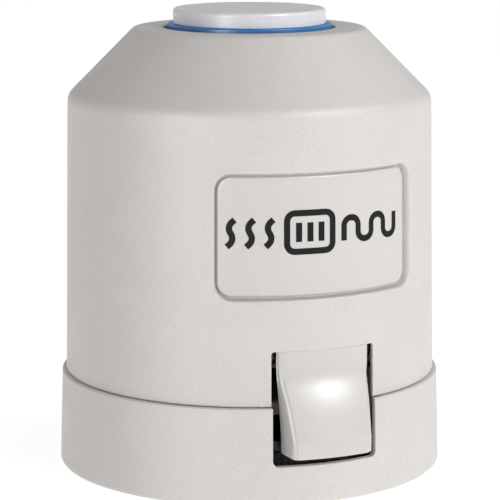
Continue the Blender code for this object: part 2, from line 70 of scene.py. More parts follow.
def add_node(tree, kind, inputs=None, **settings):
    """Adds a node, sets it up, and fills or links its inputs by name or number."""
    node = tree.nodes.new(kind)
    for name, value in settings.items():
        setattr(node, name, value)
    for key, value in (inputs or {}).items():
        if isinstance(value, bpy.types.NodeSocket):
            tree.links.new(value, node.inputs[key])
        else:
            node.inputs[key].default_value = value
    return node


print("mid grey in linear light:", [round(c, 3) for c in linear("808080")])

# %% [markdown]
# ## Camera
#
# A long lens about 28 cm away, 23 degrees to the left of the latch and 10 degrees above it, looks down a
# little, so the round top shows as a narrow ellipse and the sides stay upright.

# %% Camera
camera_data = bpy.data.cameras.new("product camera")
camera_data.lens = 167.1
camera_data.sensor_width = 36.0
camera_data.clip_start = 0.01
camera = bpy.data.objects.new("product camera", camera_data)
camera.location = (-0.10923, -0.25733, 0.07686)
camera.rotation_euler = (math.radians(90 - 10.38), 0, math.radians(-23.0143))
bpy.context.scene.collection.objects.link(camera)
bpy.context.scene.camera = camera
bpy.context.scene.view_settings.view_transform = "Standard"
print("camera at", [round(v, 4) for v in camera.location])

# %% [markdown]
# ## Light table
#
# Small parts are often shot on a lit translucent sheet, which takes the shadows away and leaves a white
# ground. An even sky fills in. A key softbox to the right of the latch models the round body: it brightens
# the right side and lets the left fall to grey. The key is hidden from the gloss, which no real lamp can be,
# and two more lights show in the gloss alone: a strip for the left side, and an upper one that gives the
# latch its bright spot. So the gloss and the body tone are set apart, at the price of true light.

# %% Floor, sky and lights
AMBIENT = 0.50
world = bpy.data.worlds.new("even studio")
world.use_nodes = True
world.node_tree.nodes["Background"].inputs["Color"].default_value = (AMBIENT, AMBIENT, AMBIENT, 1.0)
bpy.context.scene.world = world

acrylic = bpy.data.materials.new("opal acrylic light table")
acrylic.use_nodes = True
acrylic_shader = acrylic.node_tree.nodes["Principled BSDF"]
acrylic_shader.inputs["Base Color"].default_value = linear("C8C8C8")
acrylic_shader.inputs["Roughness"].default_value = 0.9
acrylic_shader.inputs["Specular IOR Level"].default_value = 0.1
acrylic_shader.inputs["Emission Color"].default_value = (1.0, 1.0, 1.0, 1.0)
acrylic_shader.inputs["Emission Strength"].default_value = 0.69

floor_mesh = bpy.data.meshes.new("light table")
floor_mesh.from_pydata([(-3, -3, 0), (3, -3, 0), (3, 3, 0), (-3, 3, 0)], [], [(0, 1, 2, 3)])
floor_mesh.materials.append(acrylic)
floor = bpy.data.objects.new("light table", floor_mesh)
floor.location.z = -0.00002
bpy.context.scene.collection.objects.link(floor)

LIGHT_REACH, AIM_HEIGHT = 0.7, 0.028


def softbox(name, azimuth_deg, height_deg, size, watts, sheen=True, body=True):
    """A rectangular softbox 70 cm away that looks at the object. Azimuth counts from the latch's front.

    sheen and body say whether it shows in the gloss and whether it lights the plastic's own colour.
    """
    data = bpy.data.lights.new(name, "AREA")
    data.shape = "RECTANGLE"
    data.size, data.size_y = size
    data.energy = watts
    data.color = (0.975, 0.992, 1.0)
    made = bpy.data.objects.new(name, data)
    around, up = math.radians(azimuth_deg), math.radians(height_deg)
    aim_point = Vector((0, 0, AIM_HEIGHT))
    made.location = aim_point + LIGHT_REACH * Vector((
        math.sin(around) * math.cos(up), -math.cos(around) * math.cos(up), math.sin(up)))
    aim = aim_point - made.location
    made.rotation_euler = aim.to_track_quat("-Z", "Y").to_euler()
    made.visible_diffuse = body
    made.visible_glossy = sheen
    bpy.context.scene.collection.objects.link(made)
    print(name, "at", [round(v, 3) for v in made.location])


softbox("key softbox", 19, 10, (0.20, 0.18), 1.88, sheen=False)
softbox("right fill", 85, 44, (0.20, 0.20), 0.62)
softbox("strip light", -60, 6, (0.07, 0.50), 6.5, body=False)
softbox("upper sheen light", 30, 38, (0.05, 0.20), 6.2, body=False)

# a black pad under the open socket keeps the lit sheet from shining up into it
PAD_R, PAD_CORNERS = 0.0218, 96

felt = bpy.data.materials.new("black felt pad")
felt.use_nodes = True
felt_shader = felt.node_tree.nodes["Principled BSDF"]
felt_shader.inputs["Base Color"].default_value = linear("0A0A0A")
felt_shader.inputs["Roughness"].default_value = 1.0
pad_mesh = bpy.data.meshes.new("felt pad")
turns = [math.tau * k / PAD_CORNERS for k in range(PAD_CORNERS)]
pad_mesh.from_pydata([(PAD_R * math.sin(t), -PAD_R * math.cos(t), -0.00001) for t in turns], [],
                     [tuple(range(PAD_CORNERS))])
pad_mesh.materials.append(felt)
pad = bpy.data.objects.new("felt pad", pad_mesh)
bpy.context.scene.collection.objects.link(pad)

# %% [markdown]
# ## Moulded plastics
#
# The hood is injection-moulded ABS. Its mould was spark-eroded, which leaves a fine, even grain on the part:
# tiny bumps that spread the highlight, under a colour that is the same all through. The latch, the cap and
# the blue sleeve come from polished moulds, so they shine more. One recipe makes them all: a grain for the
# bump and the roughness, and a soft cloud a few millimetres wide for the flow marks that keep the tone alive.


# %% Moulded plastic recipe
def new_finish(name, colour, roughness, metallic=0.0, **sockets):
    """A material whose shader has its plain values set; returns it with its tree and shader."""
    made = bpy.data.materials.new(name)
    made.use_nodes = True
    tree = made.node_tree
    shader = tree.nodes["Principled BSDF"]
    shader.inputs["Base Color"].default_value = linear(colour)
    shader.inputs["Roughness"].default_value = roughness
    shader.inputs["Metallic"].default_value = metallic
    for socket, value in sockets.items():
        shader.inputs[socket.replace("_", " ")].default_value = value
    return made, tree, shader


def wire(tree, shader, **sockets):
    """Links sockets to the shader's inputs by name."""
    for name, socket in sockets.items():
        tree.links.new(socket, shader.inputs[name.replace("_", " ")])


def moulded(name, light, dark, grain_mm, height_mm, roughness, cloud_mm=6.0, **sockets):
    """Injection-moulded plastic: an eroded grain over a faint cloud of flow marks."""
    made, tree, shader = new_finish(name, light, roughness[0], **sockets)
    place = add_node(tree, "ShaderNodeTexCoord").outputs["Object"]
    grain = add_node(tree, "ShaderNodeTexNoise", {
        "Vector": place, "Scale": 1 / (grain_mm * MM), "Detail": 3.0, "Roughness": 0.6})
    cloud = add_node(tree, "ShaderNodeTexNoise", {
        "Vector": place, "Scale": 1 / (cloud_mm * MM), "Detail": 2.0})
    speck = add_node(tree, "ShaderNodeMath", {
        0: cloud.outputs["Fac"], 1: 0.3, 2: grain.outputs["Fac"]}, operation="MULTIPLY_ADD")
    share = add_node(tree, "ShaderNodeMapRange", {
        "Value": speck.outputs[0], "From Min": 0.45, "From Max": 0.85})
    colour = add_node(tree, "ShaderNodeMix", {
        0: share.outputs[0], 6: linear(dark), 7: linear(light)}, data_type="RGBA")
    gloss = add_node(tree, "ShaderNodeMapRange", {
        "Value": grain.outputs["Fac"], "From Min": 0.3, "From Max": 0.7,
        "To Min": roughness[0], "To Max": roughness[1]})
    bump = add_node(tree, "ShaderNodeBump", {
        "Height": grain.outputs["Fac"], "Distance": height_mm * MM, "Strength": 1.0})
    wire(tree, shader, Base_Color=colour.outputs[2], Roughness=gloss.outputs[0], Normal=bump.outputs[0])
    return made


# Grain of 0.04 mm is too fine to show, so it is drawn about six times coarser.
casing = moulded("ABS, moulded, spark-eroded", "D1CDC9", "C7C3BF", 0.26, 0.016, (0.50, 0.60), IOR=1.54)
polished = moulded("ABS, moulded, polished", "CBC7C3", "C9C5C1", 0.5, 0.002, (0.34, 0.38), IOR=1.54)
cap_white = moulded("white ABS, moulded, polished", "E2E0E4", "DDDBE0", 0.7, 0.004, (0.34, 0.42), IOR=1.54)
sleeve_blue = moulded("blue polypropylene, moulded", "2A7ABC", "206CAE", 0.6, 0.004, (0.30, 0.40), IOR=1.49)
nylon = moulded("natural polyamide, moulded", "DCD6C6", "D0C9B6", 0.5, 0.006, (0.42, 0.52), IOR=1.53)
print("moulded finishes:", [m.name for m in (casing, polished, cap_white, sleeve_blue, nylon)])

# %% [markdown]
# ## Filled plastic, rubber, ceramic, label film and ink
#
# Glass-filled polyamide shows short pale fibre streaks on its skin. EPDM rubber is dull, with a bloom. The
# heater is a fired ceramic pill with a coarse speckle. The label is a satin polycarbonate film, and the ink
# on it is a dense, slightly raised screen print.


# %% Filled plastic, rubber, ceramic, film and ink
def speckled(name, base, fleck, fleck_mm, stretch, amount, roughness, height_mm, **sockets):
    """A dull body with flecks of a second colour, stretched along one axis where fibres lie."""
    made, tree, shader = new_finish(name, base, roughness, **sockets)
    place = add_node(tree, "ShaderNodeTexCoord").outputs["Object"]
    drawn = add_node(tree, "ShaderNodeMapping", {"Vector": place, "Scale": stretch})
    noise = add_node(tree, "ShaderNodeTexNoise", {
        "Vector": drawn.outputs[0], "Scale": 1 / (fleck_mm * MM), "Detail": 2.0, "Roughness": 0.5})
    share = add_node(tree, "ShaderNodeMapRange", {
        "Value": noise.outputs["Fac"], "From Min": 0.62 - amount, "From Max": 0.70})
    colour = add_node(tree, "ShaderNodeMix", {
        0: share.outputs[0], 6: linear(base), 7: linear(fleck)}, data_type="RGBA")
    bump = add_node(tree, "ShaderNodeBump", {
        "Height": noise.outputs["Fac"], "Distance": height_mm * MM, "Strength": 1.0})
    wire(tree, shader, Base_Color=colour.outputs[2], Normal=bump.outputs[0])
    return made


EVEN = (1, 1, 1)
filled_nylon = speckled(
    "glass-filled polyamide, moulded", "2B2C2F", "4A4B4E", 0.25, (1, 1, 0.15), 0.06, 0.55, 0.01)
rubber = speckled("EPDM rubber, moulded", "1B1B1C", "2A2A2B", 0.30, EVEN, 0.10, 0.72, 0.01, IOR=1.47)
ceramic = speckled("barium titanate ceramic, fired", "4C4844", "77716A", 0.30, EVEN, 0.05, 0.70, 0.01)
film = speckled("polycarbonate film, satin", "CBC7C3", "CFCBC7", 0.30, EVEN, 0.10, 0.42, 0.005, IOR=1.58)
ink = speckled("black ink, screen printed", "0B0B0D", "141417", 0.22, EVEN, 0.08, 0.65, 0.003,
               Specular_IOR_Level=0.2)
print("dull finishes:", [m.name for m in (filled_nylon, rubber, ceramic, film, ink)])

# %% [markdown]
# ## Metals
#
# The screws, pins and piston are bright steel, the wax cup is turned brass, the contact strips are tinned
# bronze and the slide is stamped, phosphated steel. A metal shows its making as fine lines: round the axis
# on turned parts, along the strip on rolled ones. Stretched noise gives both, and the IOR is left alone.


# %% Metal recipe
def metal(name, bright, dull, line_mm, stretch, roughness, height_mm=0.003):
    """Bare or plated metal with fine lines from its making."""
    made, tree, shader = new_finish(name, bright, roughness[0], metallic=1.0)
    place = add_node(tree, "ShaderNodeTexCoord").outputs["Object"]
    drawn = add_node(tree, "ShaderNodeMapping", {"Vector": place, "Scale": stretch})
    lines = add_node(tree, "ShaderNodeTexNoise", {
        "Vector": drawn.outputs[0], "Scale": 1 / (line_mm * MM), "Detail": 3.0})
    cloud = add_node(tree, "ShaderNodeTexNoise", {"Vector": place, "Scale": 1 / (3.0 * MM)})
    colour = add_node(tree, "ShaderNodeMix", {
        0: cloud.outputs["Fac"], 6: linear(dull), 7: linear(bright)}, data_type="RGBA")
    gloss = add_node(tree, "ShaderNodeMapRange", {
        "Value": lines.outputs["Fac"], "From Min": 0.3, "From Max": 0.7,
        "To Min": roughness[0], "To Max": roughness[1]})
    bump = add_node(tree, "ShaderNodeBump", {
        "Height": lines.outputs["Fac"], "Distance": height_mm * MM, "Strength": 1.0})
    wire(tree, shader, Base_Color=colour.outputs[2], Roughness=gloss.outputs[0], Normal=bump.outputs[0])
    return made


steel = metal("stainless steel, turned", "C9C9CC", "B4B5B8", 0.25, (0.1, 0.1, 1.0), (0.22, 0.34))
phosphate = metal("phosphated steel, stamped", "3C3E41", "2C2E31", 0.35, (1.0, 0.15, 1.0), (0.30, 0.44))
spring_wire = metal("spring steel, drawn", "8E9094", "76787C", 0.20, (1.0, 1.0, 0.3), (0.28, 0.40))
brass = metal("brass, turned", "D6B36A", "C29C50", 0.25, (0.1, 0.1, 1.0), (0.24, 0.36))
bronze = metal("tinned bronze, rolled", "C8C0B0", "B59E7E", 0.30, (0.15, 1.0, 1.0), (0.30, 0.42))
print("metals:", [m.name for m in (steel, phosphate, spring_wire, brass, bronze)])

# %% [markdown]
# ## Making a piece
#
# A few makers serve the whole model. `piece_from` scales points to metres, merges doubles and points the
# faces outwards. `rounded` turns a drawing's corners, each with its radius, into a smooth outline; it adds a
# point just outside each arc, so that the flats beside it stay flat. `carve` cuts with exact Booleans.


# %% Piece, outline and cutting helpers
def link(mesh, name):
    made = bpy.data.objects.new(name, mesh)
    bpy.context.scene.collection.objects.link(made)
    return made


def settle(mesh, material, sharp_deg):
    """Merges doubles, points faces outwards and sets the shading of a finished mesh."""
    bm = bmesh.new()
    bm.from_mesh(mesh)
    bmesh.ops.remove_doubles(bm, verts=bm.verts, dist=2e-6)
    bmesh.ops.dissolve_degenerate(bm, edges=bm.edges, dist=1e-7)
    bmesh.ops.recalc_face_normals(bm, faces=bm.faces)
    bm.to_mesh(mesh)
    bm.free()
    mesh.materials.clear()
    mesh.materials.append(material)
    mesh.shade_smooth()
    mesh.set_sharp_from_angle(angle=math.radians(sharp_deg))


def piece_from(name, points, faces, material, sharp_deg=32):
    """A piece from points in millimetres."""
    mesh = bpy.data.meshes.new(name)
    mesh.from_pydata([tuple(c * MM for c in p) for p in points], [], faces)
    settle(mesh, material, sharp_deg)
    return link(mesh, name)


def rounded(corners, steps=6, support=0.06):
    """Turns (radius, height, fillet) corners into outline points."""
    found = []
    count = len(corners)
    for i, (r, z, fillet) in enumerate(corners):
        if fillet <= 0 or i in (0, count - 1):
            found.append((r, z))
            continue
        here = Vector((r, z))
        to_last = (Vector(corners[i - 1][:2]) - here).normalized()
        to_next = (Vector(corners[i + 1][:2]) - here).normalized()
        half = to_last.angle(to_next) / 2
        reach = fillet / math.tan(half)
        middle = here + (to_last + to_next).normalized() * (fillet / math.sin(half))
        start, end = here + to_last * reach - middle, here + to_next * reach - middle
        turn = math.pi - 2 * half
        found.append(tuple(middle + start + to_last * support))
        for k in range(steps + 1):
            share = k / steps
            point = (start * math.sin((1 - share) * turn) + end * math.sin(share * turn)) / math.sin(turn)
            found.append(tuple(middle + point))
        found.append(tuple(middle + end + to_next * support))
    return found


def freeze(made, material, sharp_deg=32):
    """Applies every modifier by taking the evaluated mesh, and tidies it."""
    graph = bpy.context.evaluated_depsgraph_get()
    mesh = bpy.data.meshes.new_from_object(made.evaluated_get(graph))
    made.modifiers.clear()
    made.data = mesh
    mesh.name = made.name
    settle(mesh, material, sharp_deg)
    return made


def carve(made, tools, material, sharp_deg=32, operation="DIFFERENCE"):
    """Cuts the tools out of a piece, or joins them to it, and throws them away."""
    for tool in tools:
        cutter = made.modifiers.new("cut", "BOOLEAN")
        cutter.operation, cutter.solver, cutter.object = operation, "EXACT", tool
    freeze(made, material, sharp_deg)
    for tool in tools:
        bpy.data.objects.remove(tool)
    return made


def block(low, high, round_mm=0.0):
    """A cutter or small boss between two corners, with its edges rounded where asked."""
    bm = bmesh.new()
    size = Vector(high) - Vector(low)
    bmesh.ops.create_cube(bm, size=1.0, matrix=Matrix.Translation((Vector(low) + Vector(high)) / 2)
                          @ Matrix.Diagonal((*size, 1.0)))
    if round_mm:
        bmesh.ops.bevel(bm, geom=bm.edges[:], offset=round_mm, segments=3, profile=0.5, affect="EDGES")
    bmesh.ops.scale(bm, vec=(MM, MM, MM), verts=bm.verts)
    mesh = bpy.data.meshes.new("block")
    bm.to_mesh(mesh)
    bm.free()
    return link(mesh, "block")


def add_piece(made, body, slot, *nodes):
    """Hands a finished piece to the frame: what it rides on and what it stands for. The slot, its finish, is
    not used.
    """
    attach(made, body)
    if nodes:
        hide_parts(*nodes)
    print(f"{made.name}: {len(made.data.polygons)} faces, rides on {body}")


print("outline of a 1 mm fillet:", len(rounded([(0, 0, 0), (5, 0, 1), (5, 5, 0)])), "points")

# %% [markdown]
# ## Turned parts with Geometry Nodes
#
# The cap, sleeve, foot, slide and seals are all bodies of revolution: a profile swept round the stroke axis.
# A lathe could be spun in mesh code, but the rule is so plain that a small node tree says it best. A grid has
# one column for each segment and one row for each profile point. Each grid point looks up its profile point
# and swings it round. Merging closes the seam and the poles.

# %% The turned part tree
def new_tree(name, inputs, takes_mesh=False):
    """An empty node tree with named inputs: the tree, its inputs' identifiers and their sockets."""
    tree = bpy.data.node_groups.new(name, "GeometryNodeTree")
    if takes_mesh:
        tree.interface.new_socket("Geometry", in_out="INPUT", socket_type="NodeSocketGeometry")
    ids = {}
    for label, kind in inputs.items():
        ids[label] = tree.interface.new_socket(
            label, in_out="INPUT", socket_type="NodeSocket" + kind).identifier
    tree.interface.new_socket("Geometry", in_out="OUTPUT", socket_type="NodeSocketGeometry")
    return tree, ids, add_node(tree, "NodeGroupInput").outputs


def end_tree(tree, geometry, material):
    """Ends a tree: instances become real, the finish goes on, and the result leaves the tree."""
    real = add_node(tree, "GeometryNodeRealizeInstances", {0: geometry})
    painted = add_node(tree, "GeometryNodeSetMaterial", {"Geometry": real.outputs[0], "Material": material})
    add_node(tree, "NodeGroupOutput", {0: painted.outputs[0]})


def run_tree(made, tree, ids, values, material, sharp_deg=32):
    """Runs a tree on an object with its inputs set by identifier, and keeps the plain mesh."""
    run = made.modifiers.new(tree.name, "NODES")
    run.node_group = tree
    for label, value in values.items():
        run[ids[label]] = value
    bpy.context.view_layer.update()
    return freeze(made, material, sharp_deg)


lathe_tree, LATHE, given = new_tree("turned part", {
    "Profile": "Object", "Profile points": "Int", "Segments": "Int", "Finish": "Material"})
info = add_node(lathe_tree, "GeometryNodeObjectInfo", {"Object": given["Profile"]})
columns = add_node(lathe_tree, "ShaderNodeMath", {0: given["Segments"], 1: 1.0}, operation="ADD")
grid = add_node(lathe_tree, "GeometryNodeMeshGrid", {
    "Vertices X": columns.outputs[0], "Vertices Y": given["Profile points"]})
index = add_node(lathe_tree, "GeometryNodeInputIndex").outputs[0]
column = add_node(lathe_tree, "ShaderNodeMath", {0: index, 1: given["Profile points"]}, operation="DIVIDE")
column = add_node(lathe_tree, "ShaderNodeMath", {0: column.outputs[0]}, operation="FLOOR")
row = add_node(lathe_tree, "ShaderNodeMath", {0: index, 1: given["Profile points"]}, operation="MODULO")
position = add_node(lathe_tree, "GeometryNodeInputPosition").outputs[0]
sample = add_node(lathe_tree, "GeometryNodeSampleIndex", {
    "Geometry": info.outputs["Geometry"], "Value": position, "Index": row.outputs[0]},
    data_type="FLOAT_VECTOR", domain="POINT")
turn = add_node(lathe_tree, "ShaderNodeMath", {
    0: column.outputs[0], 1: given["Segments"]}, operation="DIVIDE")
turn = add_node(lathe_tree, "ShaderNodeMath", {0: turn.outputs[0], 1: math.tau}, operation="MULTIPLY")
swing = add_node(lathe_tree, "ShaderNodeVectorRotate", {
    "Vector": sample.outputs[0], "Angle": turn.outputs[0]}, rotation_type="Z_AXIS")
placed = add_node(lathe_tree, "GeometryNodeSetPosition", {
    "Geometry": grid.outputs["Mesh"], "Position": swing.outputs[0]})
merged = add_node(lathe_tree, "GeometryNodeMergeByDistance", {
    "Geometry": placed.outputs[0], "Distance": 1e-6})
end_tree(lathe_tree, merged.outputs[0], given["Finish"])


def turned(name, profile, material, segments=128, sharp_deg=32):
    """Turns (radius, height) points in millimetres into a closed body."""
    guide_mesh = bpy.data.meshes.new("profile")
    guide_mesh.from_pydata([(r * MM, 0, z * MM) for r, z in profile], [], [])
    guide = link(guide_mesh, "profile")
    made = link(bpy.data.meshes.new(name), name)
    run_tree(made, lathe_tree, LATHE, {
        "Profile": guide, "Profile points": len(profile), "Segments": segments, "Finish": material},
        material, sharp_deg)
    bpy.data.objects.remove(guide)
    return made


def ring_outline(corners, **how):
    """A closed outline: it starts and ends in the middle of its first side."""
    start = ((corners[0][0] + corners[-1][0]) / 2, (corners[0][1] + corners[-1][1]) / 2, 0)
    return rounded([start, *corners, start], **how)


print("turned part tree:", len(lathe_tree.nodes), "nodes")

# %% [markdown]
# ## Indicator cap and sleeve
#
# The pale cap and the thin blue sleeve below it rise together as the valve opens, so the blue ring shows how
# far it is. The cap has a soft edge on top and stands just proud of the sleeve.

# %% Indicator cap and sleeve
cap = turned("indicator_cap_moulded", rounded([
    (0, 48.0, 0), (8.3, 48.0, 0.2), (8.3, 53.47, 0), (9.17, 53.48, 0.10), (9.2, 55.3, 0.42), (0, 55.3, 0)]),
    cap_white)
add_piece(cap, "lift_carriage", "cap_white", "indicator_cap")

sleeve = turned("indicator_sleeve_moulded", ring_outline([
    (8.6, 41.5, 0.1), (9.9, 41.5, 0.15), (9.9, 53.45, 0.12), (8.6, 53.45, 0.1)]), sleeve_blue)
add_piece(sleeve, "lift_carriage", "sleeve_blue", "indicator_sleeve")

# %% [markdown]
# ## The unrolled wall
#
# The hood and the skirt are slightly tapered tubes with openings in their walls: a rounded pocket for the
# label, a slot for the latch and a round cable inlet. Booleans would leave knife edges there, and moulded
# edges are always a little soft. So the wall is drawn flat, as a sheet-metal worker would unroll it. Rings of
# points follow each opening's outline, a triangulation joins them, and the sheet is wrapped round the axis
# again. How deep a point sinks depends only on its distance from the outline, which makes the soft edge.

# %% Unrolled outlines
COLUMNS = 240
UNROLL_R = 22.2
EDGE_SINK = [(0.0, 0.15), (0.045, 0.045), (0.15, 0.0)]
EDGE_RINGS = (0.0, 0.045, 0.15, 0.30)
SLOT_SINK = [(0.0, 0.04), (0.015, 0.012), (0.04, 0.0)]
SLOT_RINGS = (0.0, 0.015, 0.04, 0.16, 1.0, 1.5)
POCKET_SINK = [(-0.10, 1.00), (-0.05, 0.90), (0.0, 0.14), (0.04, 0.04), (0.14, 0.0)]
POCKET_RINGS = (-0.30, -0.10, -0.05, 0.0, 0.04, 0.14, 0.28)


def from_table(table, at):
    """The value between the two rows of a table that a distance falls between."""
    return float(np.interp(at, *zip(*table)))


def opening(degrees, z, half_deg, half_z, corner, sink=EDGE_SINK, rings=EDGE_RINGS, through=True,
            thinned=0.0):
    """A rounded opening in the wall, centred at an angle round from the front and a height."""
    to_mm = UNROLL_R * math.pi / 180
    return {"at": (degrees * to_mm, z), "half": (half_deg * to_mm, half_z), "corner": corner,
            "sink": sink, "rings": rings, "through": through, "thinned": thinned}


def outline_of(hole, step=0.42):
    """Points round an opening with their outward directions, in the unrolled plane."""
    (u0, z0), (a, b), c = hole["at"], hole["half"], hole["corner"]
    found = []
    for su, sz, first in ((1, 1, 0), (-1, 1, 90), (-1, -1, 180), (1, -1, 270)):
        count = max(4, math.ceil(c * math.pi / 2 / step))
        for k in range(count + 1):
            turn = math.radians(first + 90 * k / count)
            out = Vector((math.cos(turn), math.sin(turn)))
            found.append((Vector((u0 + su * (a - c), z0 + sz * (b - c))) + out * c, out))
    filled = []
    for (p, n), (q, m) in zip(found, found[1:] + found[:1]):
        filled.append((p, n))
        pieces = math.ceil((q - p).length / step)
        if (p - q).length > 1.5 * step:
            filled += [(p.lerp(q, k / pieces), n) for k in range(1, pieces)]
    return filled


def distance_to(hole, u, z):
    """Signed distance from an opening's outline: positive on the wall, negative in the opening."""
    (u0, z0), (a, b), c = hole["at"], hole["half"], hole["corner"]
    qu, qz = abs(u - u0) - (a - c), abs(z - z0) - (b - c)
    return math.hypot(max(qu, 0), max(qz, 0)) + min(max(qu, qz), 0) - c


pocket = opening(0.35, 31.05, 34.05, 7.25, 2.0, POCKET_SINK, POCKET_RINGS, through=False)
hood_slot = opening(0, 11.19, 16.6, 6.7, 0.35, SLOT_SINK, SLOT_RINGS, thinned=1.4)
inlet_hole = opening(180, 18.5, math.degrees(3.4 / UNROLL_R), 3.4, 3.399)
print("outline points: pocket", len(outline_of(pocket)), "and slot", len(outline_of(hood_slot)))

# %% [markdown]
# The wrapping keeps the slot's cheeks parallel: a moulding tool pulls straight out to the front, so the
# inner skin near the front keeps the outer skin's side-to-side position and not its angle.


# %% Wrapped wall
def sunk(holes, u, z, edges):
    """How deep a point of the outer skin lies below the plain wall."""
    depth = 0.0
    for hole in holes:
        depth = max(depth, from_table(hole["sink"], distance_to(hole, u, z)))
    for edge in edges:
        depth = max(depth, from_table(EDGE_SINK, abs(z - edge)))
    return depth


def rim_of(triangles):
    """The edges that only one triangle uses, each in that triangle's direction."""
    seen = {}
    for face in triangles:
        for a, b in zip(face, face[1:] + face[:1]):
            key = (min(a, b), max(a, b))
            seen[key] = None if key in seen else (a, b)
    return [pair for pair in seen.values() if pair]


def bands(count, columns, begin=0):
    """Faces between closed rows of points that follow one another."""
    faces = []
    for i in range(count):
        for k in range(columns):
            a, b = begin + i * columns + k, begin + i * columns + (k + 1) % columns
            faces.append((a, b, b + columns, a + columns))
    return faces


def wall(outer, inner, low, high, holes, soft_edges, row_mm=1.1):
    """Points and faces of a tube wall between two heights, with its openings, as two skins.

    soft_edges are the heights where the wall ends in an edge; the other end is left open for its rings.
    """
    span = UNROLL_R * math.tau
    left = -span / 4
    rows = {low, high}
    near = EDGE_RINGS[1:]
    rows |= {low + d for d in near} if low in soft_edges else set()
    rows |= {high - d for d in near} if high in soft_edges else set()
    count = round((high - low) / row_mm)
    rows |= {low + (high - low) * k / count for k in range(1, count)}
    flat, edges = [], []
    for z in sorted(rows):
        for k in range(COLUMNS + 1):
            u = left + span * k / COLUMNS
            gaps = [(distance_to(h, u, z), h) for h in holes]
            if all(d > h["rings"][-1] + 0.28 or (not h["through"] and d < h["rings"][0] - 0.3)
                   for d, h in gaps):
                flat.append(Vector((u, z)))
    for hole in holes:
        for ring in hole["rings"]:
            loop = [p + n * ring for p, n in outline_of(hole)]
            sides = [hole["at"][0] - hole["half"][0] - ring, hole["at"][0] + hole["half"][0] + ring]
            for edge, inwards in ((low, 1), (high, -1)):
                beyond = [(p.y - edge) * inwards < 0.34 for p in loop]
                if edge in soft_edges and any(beyond):
                    # the outline runs off the wall here, so it is opened and ends on the edge's own rows
                    first = next(i for i in range(len(loop)) if beyond[i - 1] and not beyond[i])
                    loop = [p for p in loop[first:] + loop[:first] if (p.y - edge) * inwards >= 0.34]
                    start, end = loop[0].x, loop[-1].x
                    ends = [(min(sides, key=lambda s: abs(s - x)), x) for x in (start, end)]
                    down = [edge + inwards * d for d in EDGE_RINGS]
                    loop = ([Vector((ends[0][0], z)) for z in down] + loop
                            + [Vector((ends[1][0], z)) for z in reversed(down)])
                    closed = False
                    break
            else:
                closed = True
            begin = len(flat)
            flat += loop
            edges += [(begin + i, begin + i + 1) for i in range(len(loop) - 1)]
            if closed:
                edges.append((begin + len(loop) - 1, begin))
    spots, _, triangles, *_ = delaunay_2d_cdt(flat, edges, [], 0, 1e-5)
    kept = []
    for a, b, c in triangles:
        middle = (spots[a] + spots[b] + spots[c]) / 3
        if all(not h["through"] or distance_to(h, *middle) > 0 for h in holes):
            kept.append((a, b, c))

    def wrap(u, z, radius, straight):
        turn = u / UNROLL_R
        if straight:
            plain_end = high if low in soft_edges else low
            fade = min(1.0, abs(z - plain_end) / 3.0)
            fade *= min(1.0, max(0.0, (math.radians(60) - abs(turn)) / math.radians(40)))
            here = min(abs(turn), math.radians(20))
            kept_x = math.asin(min(1.0, math.sin(here) * outer(z) / radius))
            turn += math.copysign((kept_x - here) * fade, turn)
        return (radius * math.sin(turn), -radius * math.cos(turn), z)

    points = [wrap(u, z, outer(z) - sunk(holes, u, z, soft_edges), False) for u, z in spots]
    for u, z in spots:
        thinner = max(from_table([(1.0, h["thinned"]), (1.5, 0.0)], distance_to(h, u, z)) for h in holes)
        points.append(wrap(u, z, min(inner(z) + thinner, max(inner(z), outer(z) - 0.6)), True))
    shift = len(spots)
    faces = kept + [(c + shift, b + shift, a + shift) for a, b, c in kept]
    right = left + span
    for a, b in rim_of(kept):
        p, q = spots[a], spots[b]
        if any(abs(p.x - s) < 1e-4 and abs(q.x - s) < 1e-4 for s in (left, right)):
            continue
        if any(abs(p.y - z) < 1e-4 and abs(q.y - z) < 1e-4 and z not in soft_edges for z in (low, high)):
            continue
        faces.append((b, a, a + shift, b + shift))
    return points, faces


def rings(points, faces, profile):
    """Adds turned rings with the wall's own columns to its points and faces."""
    begin = len(points)
    for r, z in profile:
        for k in range(COLUMNS):
            turn = -math.pi / 2 + math.tau * k / COLUMNS
            points.append((r * math.sin(turn), -r * math.cos(turn), z))
    faces += bands(len(profile) - 1, COLUMNS, begin)


# %% [markdown]
# ## Hood
#
# Everything the eye meets first is the hood: a tapered wall, a 45 degree shoulder with soft corners, and the
# guide tube that the sleeve slides in. The wall comes from the unrolled sheet, and the shoulder, the top and
# the tube inside are plain rings on the same columns, so that the two join point by point.

# %% Hood
HOOD_LOW, HOOD_HIGH = 11.5, 42.5
HOOD_DRAFT = 0.55 / 33.25
HOOD_WALL = 2.0


def hood_outer(z):
    """The tapered wall's radius at a height, by the mould's draft."""
    return 22.5 - (z - 11.7) * HOOD_DRAFT


hood_points, hood_faces = wall(
    hood_outer, lambda z: hood_outer(z) - HOOD_WALL, HOOD_LOW, HOOD_HIGH,
    [pocket, hood_slot, inlet_hole], [HOOD_LOW])
rings(hood_points, hood_faces, rounded([
    (hood_outer(HOOD_HIGH), HOOD_HIGH, 0), (21.95, 44.95, 2.0), (13.9, 53.05, 1.1), (10.32, 53.05, 0.18),
    (10.3, 48.2, 0.1), (11.0, 48.2, 0.1), (11.0, 46.6, 0.1), (10.3, 46.6, 0.1), (10.3, 45.6, 0.1),
    (11.5, 45.6, 0.1), (11.5, 49.6, 0.5), (14.47, 49.6, 0.5), (19.95, 44.12, 1.0),
    (hood_outer(HOOD_HIGH) - HOOD_WALL, HOOD_HIGH, 0)], steps=7))
hood = piece_from("hood_moulded", hood_points, hood_faces, casing, sharp_deg=50)
add_piece(hood, "housing", "casing", "housing_hood")


def open_edges(made):
    """Counts the edges that don't join two faces, which a closed body has none of."""
    bm = bmesh.new()
    bm.from_mesh(made.data)
    found = sum(not e.is_manifold for e in bm.edges)
    bm.free()
    return found


print("hood open edges:", open_edges(hood))

